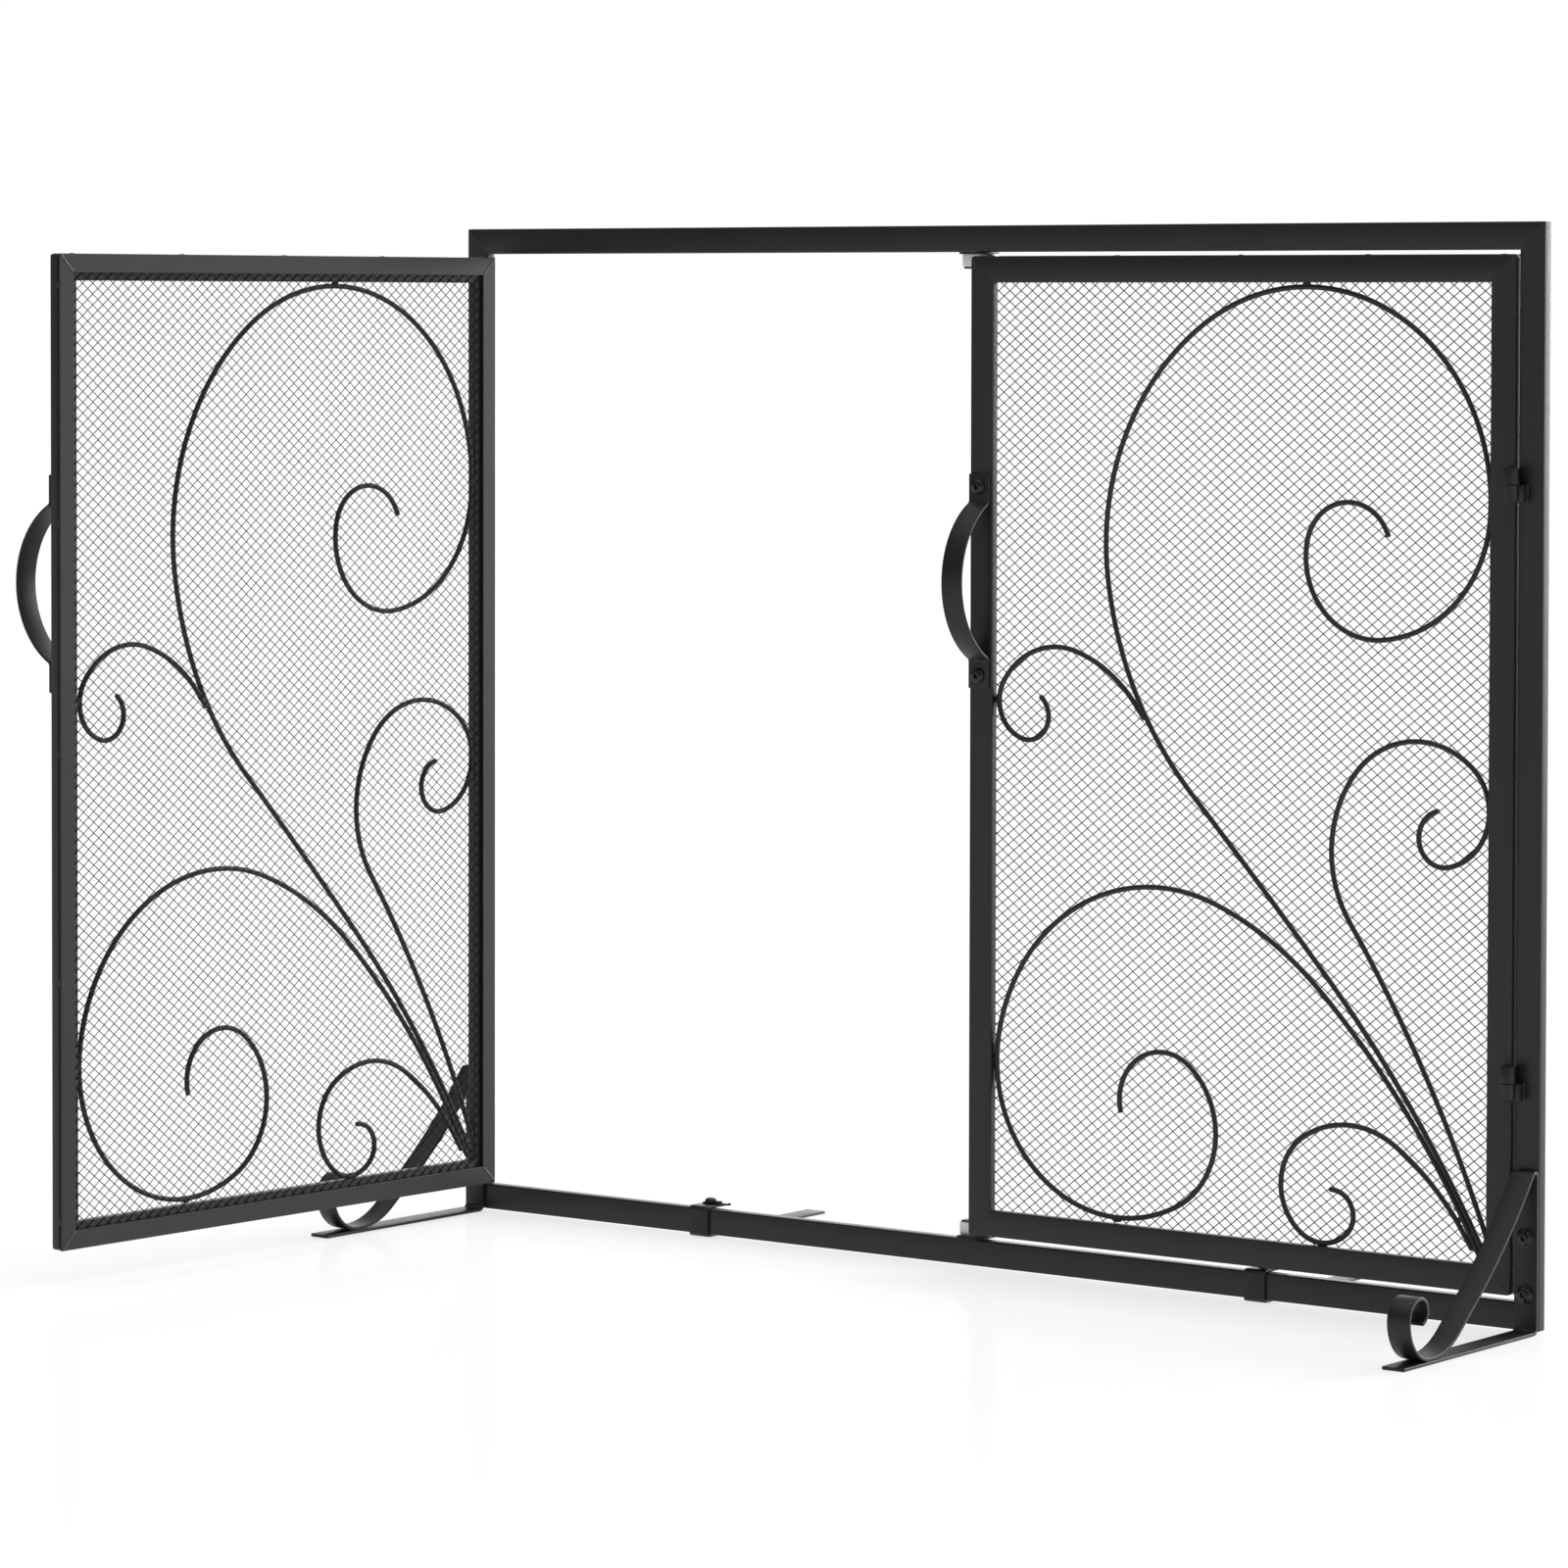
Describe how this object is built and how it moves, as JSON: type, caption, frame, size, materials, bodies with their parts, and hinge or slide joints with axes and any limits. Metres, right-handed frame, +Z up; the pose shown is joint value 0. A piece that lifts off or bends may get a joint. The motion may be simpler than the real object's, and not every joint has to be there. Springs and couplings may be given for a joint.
{
  "type": "fireplace screen",
  "caption": "Free-standing fireplace screen: black tube frame with hinged mesh doors, scrollwork, bow handles, scrolled end feet and rear stabilisers; left door open.",
  "frame": {"origin": "on the hearth floor, under the middle of the fixed frame, at the middle of its tube depth", "axes": "+X along the screen to the viewer's right, +Y away from the viewer towards the fire, +Z up"},
  "size_m": [1.0248, 0.6303, 0.787],
  "materials": {
    "coated_steel": "satin black powder coat",
    "scrollwork": "satin black powder coat on round rod",
    "mesh": "black coated woven wire",
    "fasteners": "black oxide",
    "magnet": "nickel plated"
  },
  "bodies": {
    "frame": {"bottom_catch_bracket": "coated_steel", "bottom_catch_magnet": "magnet", "frame_bottom_rail": "coated_steel", "frame_left_stile": "coated_steel", "frame_right_stile": "coated_steel", "frame_top_rail": "coated_steel", "left_clamp_bolt": "fasteners", "left_foot": "coated_steel", "left_foot_high_bolt": "fasteners", "left_foot_low_bolt": "fasteners", "left_lower_hinge_pin": "coated_steel", "left_rear_stabiliser": "coated_steel", "left_upper_hinge_pin": "coated_steel", "right_clamp_bolt": "fasteners", "right_foot": "coated_steel", "right_foot_high_bolt": "fasteners", "right_foot_low_bolt": "fasteners", "right_lower_hinge_pin": "coated_steel", "right_rear_stabiliser": "coated_steel", "right_upper_hinge_pin": "coated_steel", "top_catch_bracket": "coated_steel", "top_catch_magnet": "magnet"},
    "left_door": {"left_door_bottom_rail": "coated_steel", "left_door_free_stile": "coated_steel", "left_door_handle": "coated_steel", "left_door_handle_lower_bolt": "fasteners", "left_door_handle_upper_bolt": "fasteners", "left_door_hinge_stile": "coated_steel", "left_door_lower_knuckle": "coated_steel", "left_door_lower_scroll": "scrollwork", "left_door_main_scroll": "scrollwork", "left_door_mesh": "mesh", "left_door_mesh_retainer": "coated_steel", "left_door_side_scroll": "scrollwork", "left_door_small_scroll": "scrollwork", "left_door_top_rail": "coated_steel", "left_door_upper_knuckle": "coated_steel", "left_door_upper_scroll": "scrollwork"},
    "right_door": {"right_door_bottom_rail": "coated_steel", "right_door_free_stile": "coated_steel", "right_door_handle": "coated_steel", "right_door_handle_lower_bolt": "fasteners", "right_door_handle_upper_bolt": "fasteners", "right_door_hinge_stile": "coated_steel", "right_door_lower_knuckle": "coated_steel", "right_door_lower_scroll": "scrollwork", "right_door_main_scroll": "scrollwork", "right_door_mesh": "mesh", "right_door_mesh_retainer": "coated_steel", "right_door_side_scroll": "scrollwork", "right_door_small_scroll": "scrollwork", "right_door_top_rail": "coated_steel", "right_door_upper_knuckle": "coated_steel", "right_door_upper_scroll": "scrollwork"}
  },
  "joints": [
    {"name": "left_door_hinge", "type": "hinge", "parent": "frame", "child": "left_door", "pos_m": [-0.46925, -0.0135, 0.39], "axis": [0, 0, 1], "range_deg": [0, 94]},
    {"name": "right_door_hinge", "type": "hinge", "parent": "frame", "child": "right_door", "pos_m": [0.46925, -0.0135, 0.39], "axis": [0, 0, 1], "range_deg": [0, 92.5]}
  ]
}
